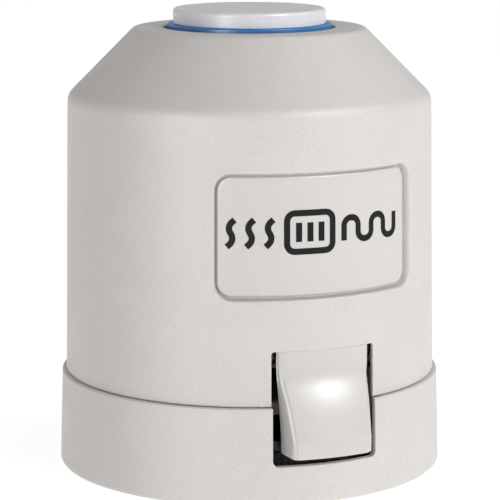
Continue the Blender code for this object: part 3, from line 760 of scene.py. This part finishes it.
# %% [markdown]
# Inside, the hood carries screw bosses on the four diagonals, the ears that hold the latch pin and the posts
# for the cable clamp. A boss repeats four times round a circle, so Geometry Nodes place it: a mesh circle of
# four points, one instance on each. The same tree later places the screws.

# %% The ring-of-four tree
ring_tree, RING, given = new_tree("parts round a circle", {
    "Part": "Object", "Count": "Int", "Circle radius": "Float", "First angle": "Float", "Finish": "Material"})
part = add_node(ring_tree, "GeometryNodeObjectInfo", {"Object": given["Part"]})
circle = add_node(ring_tree, "GeometryNodeMeshCircle", {
    "Vertices": given["Count"], "Radius": given["Circle radius"]})
index = add_node(ring_tree, "GeometryNodeInputIndex").outputs[0]
step = add_node(ring_tree, "ShaderNodeMath", {0: math.tau, 1: given["Count"]}, operation="DIVIDE")
turn = add_node(ring_tree, "ShaderNodeMath", {
    0: index, 1: step.outputs[0], 2: given["First angle"]}, operation="MULTIPLY_ADD")
position = add_node(ring_tree, "GeometryNodeInputPosition").outputs[0]
swing = add_node(ring_tree, "ShaderNodeVectorRotate", {
    "Vector": position, "Angle": given["First angle"]}, rotation_type="Z_AXIS")
placed = add_node(ring_tree, "GeometryNodeSetPosition", {
    "Geometry": circle.outputs[0], "Position": swing.outputs[0]})
facing = add_node(ring_tree, "ShaderNodeCombineXYZ", {"Z": turn.outputs[0]})
copies = add_node(ring_tree, "GeometryNodeInstanceOnPoints", {
    "Points": placed.outputs[0], "Instance": part.outputs["Geometry"], "Rotation": facing.outputs[0]})
end_tree(ring_tree, copies.outputs[0], given["Finish"])


def round_circle(name, part, count, radius_mm, first_deg, material, sharp_deg=32):
    """Repeats a part round the stroke axis, each copy turned to face outwards."""
    made = link(bpy.data.meshes.new(name), name)
    run_tree(made, ring_tree, RING, {
        "Part": part, "Count": count, "Circle radius": radius_mm * MM,
        "First angle": math.radians(first_deg), "Finish": material}, material, sharp_deg)
    bpy.data.objects.remove(part)
    return made


SCREW_RING_R = 18.0
boss = turned("boss", ring_outline([
    (1.5, 11.1, 0), (2.3, 11.1, 0.2), (2.3, 22.0, 0.2), (1.5, 22.0, 0)]), casing, 32)
rib = block((2.0, -0.7, 12.5), (2.9, 0.7, 21.6), 0.1)
boss = carve(boss, [rib], casing, operation="UNION")
bosses = round_circle("hood_bosses", boss, 4, SCREW_RING_R, 45, casing)
add_piece(bosses, "housing", "casing")

# %% Ears and clamp posts
PIVOT_Y, PIVOT_Z = -18.4, 16.8


def merged(name, parts, material, sharp_deg=32):
    """One piece from several closed parts that stand side by side."""
    bm = bmesh.new()
    for part in parts:
        bm.from_mesh(part.data)
        bpy.data.objects.remove(part)
    mesh = bpy.data.meshes.new(name)
    bm.to_mesh(mesh)
    bm.free()
    settle(mesh, material, sharp_deg)
    return link(mesh, name)


def on_y_axis(made, x=0.0, z=18.5):
    """Lays a part that was turned about +Z along +Y instead, at the cable inlet's height."""
    made.data.transform(Matrix.Translation((x * MM, 0, z * MM)) @ Matrix.Rotation(math.radians(-90), 4, "X"))
    return made


def along_x(radius, low, high, y, z, steps=32):
    """A round cutter that runs from side to side."""
    made = turned("bore", [(0, low), (radius, low), (radius, high), (0, high)], casing, steps)
    made.data.transform(Matrix.Translation((0, y * MM, z * MM)) @ Matrix.Rotation(math.radians(90), 4, "Y"))
    return made


ears = []
for side in (-1, 1):
    low, high = sorted((side * 7.1, side * 8.6))
    ear = block((low, -19.7, 15.0), (high, -16.6, 18.6), 0.25)
    ears.append(carve(ear, [along_x(1.05, low - 1, high + 1, PIVOT_Y, PIVOT_Z)], casing))
    low, high = sorted((side * 5.3, side * 7.7))
    ears.append(block((low, 17.7, 16.6), (high, 20.2, 20.4), 0.2))
add_piece(merged("ears_and_posts", ears, casing), "housing", "casing")

# %% [markdown]
# ## Base ring
#
# The base is a second moulding under the hood, half a millimetre wider, so its top shows as a thin ledge at
# the seam. Its skirt is another unrolled wall with the lower half of the latch slot. Inside it a partition
# carries the screws and ends in a spigot that centres the hood.

# %% Skirt
def skirt_outer(z):
    """The skirt's outer radius at a height."""
    return 23.36 - z * 0.36 / 11.44


def skirt_inner(z):
    """The skirt's inner radius: it steps out at the top, for the flat seal's groove."""
    return 22.1 if z > 10.24 else 21.1 - 0.2 * (z - 0.5) / 8.5


SKIRT_LOW, SKIRT_HIGH = 0.9, 11.4
skirt_slot = opening(0, 11.2, 16.3, 6.65, 0.75, SLOT_SINK, SLOT_RINGS, thinned=1.4)
skirt_points, skirt_faces = wall(
    skirt_outer, skirt_inner, SKIRT_LOW, SKIRT_HIGH, [skirt_slot], [SKIRT_HIGH], row_mm=0.7)
rings(skirt_points, skirt_faces, rounded([
    (skirt_outer(SKIRT_LOW), SKIRT_LOW, 0), (23.36, 0.0, 0.45), (21.35, 0.0, 0.2),
    (skirt_inner(SKIRT_LOW), SKIRT_LOW, 0)]))
skirt = piece_from("base_skirt", skirt_points, skirt_faces, casing, sharp_deg=50)
print("skirt open edges:", open_edges(skirt))

# %% Partition, spigot and screw seats
partition = turned("partition", ring_outline([
    (12.0, 9.0, 0.2), (14.7, 9.0, 0.1), (14.7, 9.3, 0), (21.15, 9.3, 0), (21.15, 10.25, 0), (20.9, 10.25, 0),
    (20.9, 11.4, 0.1), (20.1, 11.4, 0), (20.1, 14.3, 0.3), (18.8, 14.3, 0.2), (18.8, 10.8, 0),
    (12.0, 10.8, 0.2)]),
    casing, segments=160)
seats = []
for degrees in (45, 135, 225, 315):
    x, y = SCREW_RING_R * math.cos(math.radians(degrees)), SCREW_RING_R * math.sin(math.radians(degrees))
    for profile in ([(0, 8), (3.1, 8), (3.1, 9.5), (1.8, 10.3), (1.8, 12), (0, 12)],
                    [(0, 10.7), (2.7, 10.7), (2.7, 15), (0, 15)]):
        seat = turned("seat", profile, casing, 48)
        seat.data.transform(Matrix.Translation((x * MM, y * MM, 0)))
        seats.append(seat)
seats.append(block((-7.5, -26.0, 4.5), (7.5, -17.0, 16.0)))
partition = carve(partition, seats, casing)
pads = [block((x - 1.3, 18.8, 5.7), (x + 1.3, 21.0, 9.5), 0.15) for x in (-8.0, 8.0)]
base = merged("base_ring_moulded", [skirt, partition, *pads], casing, sharp_deg=50)
add_piece(base, "housing", "casing", "base_ring")

# %% [markdown]
# ## Release latch
#
# The latch is a wedge: flush with the hood at its top, where it hangs on its pin, and a fingertip's reach
# further out at its lip. Its face is bent round the same axis as the hood, so it catches the upper light in
# one round spot. It is lofted from level outlines: each height has its own reach and width, by one rule.

# %% Latch loft
LATCH_LOW, LATCH_HIGH, LATCH_LIP = 5.75, 17.88, 7.75
CHEEK_HALF, BACK_Y, FACE_Y = 4.6, -20.9, -21.33
REACH = [(7.0, 25.38), (7.75, 25.14), (8.2, 25.0), (8.9, 24.80), (9.6, 24.61), (10.3, 24.41), (11.05, 24.17),
         (11.8, 23.90), (12.4, 23.655), (13.0, 23.385), (13.6, 23.10), (14.2, 22.815), (14.8, 22.565),
         (15.4, 22.43), (16.4, 22.39), (19.0, 22.37)]


def smooth_reach(z):
    """How far the latch's face stands from the stroke axis at a height, with its corners eased."""
    if z <= LATCH_LIP:
        return 25.2
    return sum(from_table(REACH, z + 0.2 * k) for k in range(-4, 5)) / 9


def lip_reach(z):
    """The ramp's reach, ended by the upright lip face with a small round edge between them."""
    return sum(min(25.16, smooth_reach(z + 0.05 * k)) for k in range(-3, 4)) / 7


def latch_level(z, pull_in, steps=6):
    """One level outline of the latch. pull_in draws it back where an end is rounded."""
    reach = lip_reach(z) - pull_in
    half = 5.75 - 0.22 * max(0.0, lip_reach(z) - 21.6) - pull_in
    front_y = -math.sqrt(reach * reach - half * half)
    soft = min(0.5, max(0.15, -21.40 - front_y))
    root = min(5.75 - pull_in, half + 0.15)
    # the cheeks are undercut behind the hood's surface, which leaves a deep dark gap beside the latch
    cheek = [(CHEEK_HALF, BACK_Y), (CHEEK_HALF, -21.15), (CHEEK_HALF + 0.08, -21.25),
             (root - 0.08, -21.25), (root, FACE_Y)]
    end_y = min(front_y + soft + 0.03, -21.34)
    side = [(root + (half - root) * k / 3, FACE_Y + (end_y - FACE_Y) * k / 3) for k in range(1, 4)]
    corner_x, corner_y = half - soft, front_y + soft
    lean = math.asin(corner_x / reach)
    arc = []
    for k in range(steps + 1):
        turn = math.radians(90 * k / steps) * (1 - lean / math.radians(90))
        arc.append((corner_x + soft * math.cos(turn), corner_y - soft * math.sin(turn)))
    last = math.asin(arc[-1][0] / reach)
    crown = [(reach * math.sin(last * k / 9), -reach * math.cos(last * k / 9)) for k in range(8, -1, -1)]
    support = (reach * math.sin(last * 0.985), -reach * math.cos(last * 0.985))
    half_outline = cheek + side + arc + [support] + crown
    other = [(-x, y) for x, y in reversed(half_outline[:-1])]
    back = [(CHEEK_HALF * (k / 3 - 1), BACK_Y) for k in range(1, 6)]
    return [(x, y, z) for x, y in half_outline + other + back]


# each level is a height and how far it is drawn back; both ends are rounded, by 0.3 and 0.03 mm
levels = [(LATCH_LOW + 0.3 * (1 - math.cos(math.radians(18 * k))), 0.3 * (1 - math.sin(math.radians(18 * k))))
          for k in range(6)]
levels += [(6.12, 0.0), (6.7, 0.0), (7.2, 0.0)] + [(7.45 + 0.05 * k, 0.0) for k in range(12)]
levels += [(8.1 + 0.25 * k, 0.0) for k in range(39)]
turns = [math.radians(30 * k) for k in range(4)]
levels += [(LATCH_HIGH - 0.03 * (1 - math.sin(t)), 0.03 * (1 - math.cos(t))) for t in turns]
latch_points = [point for z, pull_in in levels for point in latch_level(z, pull_in)]
ring = len(latch_points) // len(levels)
latch_faces = bands(len(levels) - 1, ring)
latch_faces += [tuple(range(ring)), tuple(range(len(latch_points) - ring, len(latch_points)))]
latch = piece_from("release_latch_moulded", latch_points, latch_faces, polished, sharp_deg=38)

# %% Latch hollow, barrel and web
LEAN = 0.36
hollow = block((-3.8, -23.3, 7.1), (3.8, -18.0, 15.0), 0.4)
hollow.data.transform(Matrix(((1, 0, 0, 0), (0, 1, LEAN, -7.1 * LEAN * MM), (0, 0, 1, 0), (0, 0, 0, 1))))
latch = carve(latch, [hollow], polished, 38)
barrel = along_x(1.5, -5.0, 5.0, PIVOT_Y, PIVOT_Z, 48)
web = block((-4.4, -21.5, 15.7), (4.4, -18.5, 17.3), 0.15)
latch = carve(latch, [web], polished, 38, operation="UNION")
latch = carve(latch, [barrel], polished, 38, operation="UNION")
latch = carve(latch, [along_x(1.05, -7, 7, PIVOT_Y, PIVOT_Z)], polished, 38)
print("latch open edges:", open_edges(latch))
add_piece(latch, "latch", "casing", "release_latch")

# %% [markdown]
# ## Label plate
#
# The plate is a bent film-faced panel in the pocket, half a millimetre below the wall. It uses the
# same unrolled sheet: here the wall outside the outline is thrown away and the inside is kept.

# %% Label plate
LABEL_TOP, LABEL_UNDER = 0.52, 0.74
LABEL_EDGE = [(0, 0.18), (0.08, 0.05), (0.22, 0.0)]
# a groove 0.4 mm wide runs round the plate, a little wider on the right
plate = opening(0.05, 31.05, 34.05 - math.degrees(0.44 / UNROLL_R), 7.25 - 0.38, 1.65)
flat, flat_edges = [], []
for k in range(-46, 47):
    for m in range(-12, 13):
        u, z = 13.4 * k / 46, 31.05 + 7.4 * m / 12
        if distance_to(plate, u, z) < -0.55:
            flat.append(Vector((u, z)))
for ring in (-0.36, -0.22, -0.08, 0.0):
    begin = len(flat)
    flat += [p + n * ring for p, n in outline_of(plate, 0.35)]
    flat_edges += [(i, i + 1) for i in range(begin, len(flat) - 1)] + [(len(flat) - 1, begin)]
spots, _, triangles, *_ = delaunay_2d_cdt(flat, flat_edges, [], 0, 1e-5)
triangles = [t for t in triangles
             if distance_to(plate, *((spots[t[0]] + spots[t[1]] + spots[t[2]]) / 3)) < 0]
plate_points = []
for deep in (False, True):
    for u, z in spots:
        edge = from_table(LABEL_EDGE, -distance_to(plate, u, z))
        reach = hood_outer(z) - (LABEL_UNDER if deep else LABEL_TOP + edge)
        plate_points.append((reach * math.sin(u / UNROLL_R), -reach * math.cos(u / UNROLL_R), z))
shift = len(spots)
plate_faces = triangles + [(c + shift, b + shift, a + shift) for a, b, c in triangles]
plate_faces += [(b, a, a + shift, b + shift) for a, b in rim_of(triangles)]
label = piece_from("label_plate_bent", plate_points, plate_faces, film, sharp_deg=50)
print("label open edges:", open_edges(label))
add_piece(label, "housing", "label", "label_plate")

# %% [markdown]
# ## Printed pictograms
#
# The print shows what the head is for in plain signs: rising heat, a radiator and a floor-heating loop.
# Each sign is a few straight strokes in the unrolled plane. A node tree rounds their corners, gives them the
# width and thickness of screen-printed ink, and wraps them round the label, so they follow it exactly.

# %% The print tree
print_tree, PRINT, given = new_tree("printed strokes", {
    "Stroke width": "Float", "Ink thickness": "Float", "Corner radius": "Float", "Step": "Float",
    "Label radius": "Float", "Label height": "Float", "Draft": "Float", "Ink": "Material"}, takes_mesh=True)
lines = add_node(print_tree, "GeometryNodeMeshToCurve", {0: given["Geometry"]})
soft = add_node(print_tree, "GeometryNodeFilletCurve", {
    "Curve": lines.outputs[0], "Count": 8, "Radius": given["Corner radius"], "Limit Radius": True},
    mode="POLY")
even = add_node(print_tree, "GeometryNodeResampleCurve", {
    "Curve": soft.outputs[0], "Length": given["Step"]}, mode="LENGTH")
level = add_node(print_tree, "GeometryNodeSetCurveNormal", {"Curve": even.outputs[0]}, mode="Z_UP")
nib = add_node(print_tree, "GeometryNodeCurvePrimitiveQuadrilateral", {
    "Width": given["Stroke width"], "Height": given["Ink thickness"]})
swept = add_node(print_tree, "GeometryNodeCurveToMesh", {
    "Curve": level.outputs[0], "Profile Curve": nib.outputs[0], "Fill Caps": True})
place = add_node(print_tree, "GeometryNodeInputPosition").outputs[0]
parts = add_node(print_tree, "ShaderNodeSeparateXYZ", {0: place})
angle = add_node(print_tree, "ShaderNodeMath", {
    0: parts.outputs["X"], 1: given["Label radius"]}, operation="DIVIDE")
above = add_node(print_tree, "ShaderNodeMath", {
    0: parts.outputs["Y"], 1: given["Label height"]}, operation="SUBTRACT")
taper = add_node(print_tree, "ShaderNodeMath", {0: above.outputs[0], 1: given["Draft"]}, operation="MULTIPLY")
reach = add_node(print_tree, "ShaderNodeMath", {
    0: given["Label radius"], 1: taper.outputs[0]}, operation="SUBTRACT")
reach = add_node(print_tree, "ShaderNodeMath", {0: reach.outputs[0], 1: parts.outputs["Z"]}, operation="ADD")
forward = add_node(print_tree, "ShaderNodeMath", {0: reach.outputs[0], 1: -1.0}, operation="MULTIPLY")
upright = add_node(print_tree, "ShaderNodeCombineXYZ", {"Y": forward.outputs[0], "Z": parts.outputs["Y"]})
bent = add_node(print_tree, "ShaderNodeVectorRotate", {
    "Vector": upright.outputs[0], "Angle": angle.outputs[0]}, rotation_type="Z_AXIS")
wrapped = add_node(print_tree, "GeometryNodeSetPosition", {
    "Geometry": swept.outputs[0], "Position": bent.outputs[0]})
end_tree(print_tree, wrapped.outputs[0], given["Ink"])

# %% Pictogram strokes
DRAFT_FROM = 34.0
MID_Z = 31.5
strokes = []
for x in (-10.8, -8.6, -6.4):
    strokes.append(([(x - 0.45, MID_Z - 1.55), (x + 0.45, MID_Z - 0.75), (x - 0.45, MID_Z + 0.75),
                     (x + 0.45, MID_Z + 1.55)], False))
strokes.append(([(-4.4, MID_Z - 2.2), (1.1, MID_Z - 2.2), (1.1, MID_Z + 2.2), (-4.4, MID_Z + 2.2)], True))
strokes += [([(x, MID_Z - 1.1), (x, MID_Z + 1.1)], False) for x in (-3.0, -1.65, -0.3)]
coil_x = [2.6 + 1.95 * k for k in range(5)]
loop = []
for k, x in enumerate(coil_x):
    ends = [(x, MID_Z - 1.3), (x, MID_Z + 1.3)]
    loop += ends if k % 2 == 0 else ends[::-1]
strokes.append((loop, False))
stroke_points, stroke_edges = [], []
for path, closed in strokes:
    begin = len(stroke_points)
    if closed:
        # a closed sign starts in the middle of a side, so that every corner is rounded alike
        path = [((path[0][0] + path[-1][0]) / 2, (path[0][1] + path[-1][1]) / 2), *path]
    stroke_points += [(x * MM, z * MM, 0) for x, z in path]
    stroke_edges += [(begin + i, begin + i + 1) for i in range(len(path) - 1)]
    if closed:
        stroke_edges.append((begin + len(path) - 1, begin))
stroke_mesh = bpy.data.meshes.new("printed_pictograms")
stroke_mesh.from_pydata(stroke_points, stroke_edges, [])
pictograms = link(stroke_mesh, "printed_pictograms")
run_tree(pictograms, print_tree, PRINT, {
    "Stroke width": 0.72 * MM, "Ink thickness": 0.05 * MM, "Corner radius": 0.9 * MM, "Step": 0.2 * MM,
    "Label radius": (hood_outer(DRAFT_FROM) - LABEL_TOP) * MM, "Label height": DRAFT_FROM * MM,
    "Draft": HOOD_DRAFT, "Ink": ink}, ink)
print("pictograms open edges:", open_edges(pictograms))
add_piece(pictograms, "housing", "label")

# %% [markdown]
# ## Screws and lock, seen from below
#
# Four countersunk thread-forming screws hold hood and base together. One screw is turned with its thread
# ridges, a cross recess is cut in its head, and the ring tree sets four of them. Below the partition the
# stamped slide and the glass-filled ring that guides it hold the valve adapter.

# %% Screws
ridges = [(1.15 if k % 2 == 0 else 1.42, 11.2 + 0.42 * k) for k in range(20)]
screw = turned("screw", rounded([(0, 9.5, 0), (2.7, 9.5, 0.08), (2.7, 9.62, 0), (1.15, 10.6, 0)])
               + ridges + [(1.05, 19.6), (0.45, 20.2), (0, 20.2)], steel, 40, 25)
recess = [block((-1.45, -0.3, 8.9), (1.45, 0.3, 10.5)), block((-0.3, -1.45, 8.9), (0.3, 1.45, 10.5))]
for arm in recess:
    pinch = bmesh.new()
    pinch.from_mesh(arm.data)
    for vert in pinch.verts:
        if vert.co.z > 0.01:
            vert.co.x *= 0.45
            vert.co.y *= 0.45
    pinch.to_mesh(arm.data)
    pinch.free()
screw = carve(screw, recess, steel, 25)
screws = round_circle("housing_screws", screw, 4, SCREW_RING_R, 45, steel, 25)
add_piece(screws, "housing", "steel", *[f"housing_screw_{k}" for k in (1, 2, 3, 4)])

# %% Locking slide and its ring
slide = turned("locking_slide_stamped", ring_outline([
    (17.3, 5.6, 0.12), (18.9, 5.6, 0.2), (18.9, 7.0, 0.08), (17.3, 7.0, 0.12)], steps=3), phosphate, 160)
slide.data.transform(Matrix.Translation((0, -1.7 * MM, 0)))
tools = [block((-9.0, -26.0, 5.0), (9.0, -20.5, 8.0))]
for side in (-1, 1):
    tools.append(block((side * 8.0 - 1.5, 15.0, 5.0), (side * 8.0 + 1.5, 20.0, 8.0)))
    low, high = sorted((side * 18.6, side * 24.0))
    tools.append(block((low, -24.0, 5.0), (high, 24.0, 8.0)))
slide = carve(slide, tools, phosphate)
add_piece(slide, "lock", "steel", "locking_slide")

ring = turned("slide_retainer_moulded", ring_outline([
    (18.1, 3.6, 0.1), (20.4, 3.6, 0.2), (20.4, 5.3, 0.15), (17.5, 5.3, 0.1), (17.5, 4.2, 0.1)], steps=3),
    filled_nylon, 160)
ring = carve(ring, [block((-7.2, -24.0, 2.0), (7.2, -18.9, 9.0))], filled_nylon)
rails = []
for side in (-1, 1):
    low, high = sorted((side * 19.0, side * 20.2))
    rails.append(block((low, -3.0, 5.2), (high, 3.0, 8.6), 0.12))
ring = merged("slide_retainer_moulded", [ring, *rails], filled_nylon)
add_piece(ring, "housing", "inner_plastic", "slide_retainer")

# %% Thrust foot
foot = turned("thrust_foot_moulded", rounded([
    (0, 7.5, 0), (3.2, 7.5, 0.15), (3.6, 7.2, 0.2), (8.0, 7.2, 0.4), (8.0, 9.0, 0.15), (0, 9.0, 0)]),
    filled_nylon, 96)
slots = []
for side in (-1, 1):
    low, high = sorted((side * 4.5, side * 7.1))
    slots.append(block((-3.5, low, 7.6), (3.5, high, 10.0)))
foot = carve(foot, slots, filled_nylon)
add_piece(foot, "lift_carriage", "inner_plastic", "thrust_foot")

# %% [markdown]
# ## Cable inlet
#
# At the back the hood has a short round boss with a rubber grommet in it. The grommet's lip is ribbed, so it
# grips the cable's sheath and keeps spray out.

# %% Boss and grommet
boss = on_y_axis(turned("inlet_boss", ring_outline([
    (3.4, 20.8, 0), (5.0, 20.8, 0), (5.0, 24.4, 0.35), (3.4, 24.4, 0.15)]), casing, 96))
add_piece(boss, "housing", "casing")
grommet = on_y_axis(turned("cable_grommet_moulded", ring_outline([
    (2.4, 17.9, 0.1), (3.9, 17.9, 0.15), (3.9, 19.4, 0.1), (3.1, 19.4, 0), (3.1, 24.7, 0.1), (4.2, 24.7, 0.1),
    (3.7, 25.2, 0.2), (2.9, 25.2, 0.1), (2.75, 24.5, 0.1), (2.4, 24.3, 0.1), (2.75, 23.6, 0.1),
    (2.4, 23.2, 0.1), (2.75, 22.4, 0.1), (2.4, 22.0, 0.1)], steps=3, support=0.02), rubber, 72))
add_piece(grommet, "housing", "seal_rubber", "cable_grommet")

# %% [markdown]
# ## Finishes for the parts that keep their CAD shape
#
# The works inside are right as they are, so they only change their material. Each is named after how the
# real part is made, and the moving ones ride on their CAD bodies already.

# %% Finishes for the inner parts
INNER = {
    "housing_seal": rubber, "cap_seal": rubber, "bearing_frame": filled_nylon, "piston_seat": steel,
    "wax_piston": steel, "closing_spring": spring_wire, "cable_clamp": nylon, "clamp_screw_left": steel,
    "clamp_screw_right": steel, "latch_pin": steel, "lock_spring_left": spring_wire,
    "lock_spring_right": spring_wire, "lifting_cage": filled_nylon, "wax_element": brass,
    "ptc_heater": ceramic,
    "contact_strip_live": bronze, "contact_strip_neutral": bronze, "insulating_washer": nylon,
    "cage_cap": filled_nylon,
}
for name, material in INNER.items():
    for place in NODES[name].material_slots:
        place.material = material
plain = [n for n, o in NODES.items() if not o.hide_render and n not in INNER]
print("inner parts finished:", len(INNER), "still plain:", plain)

bpy.context.view_layer.update()
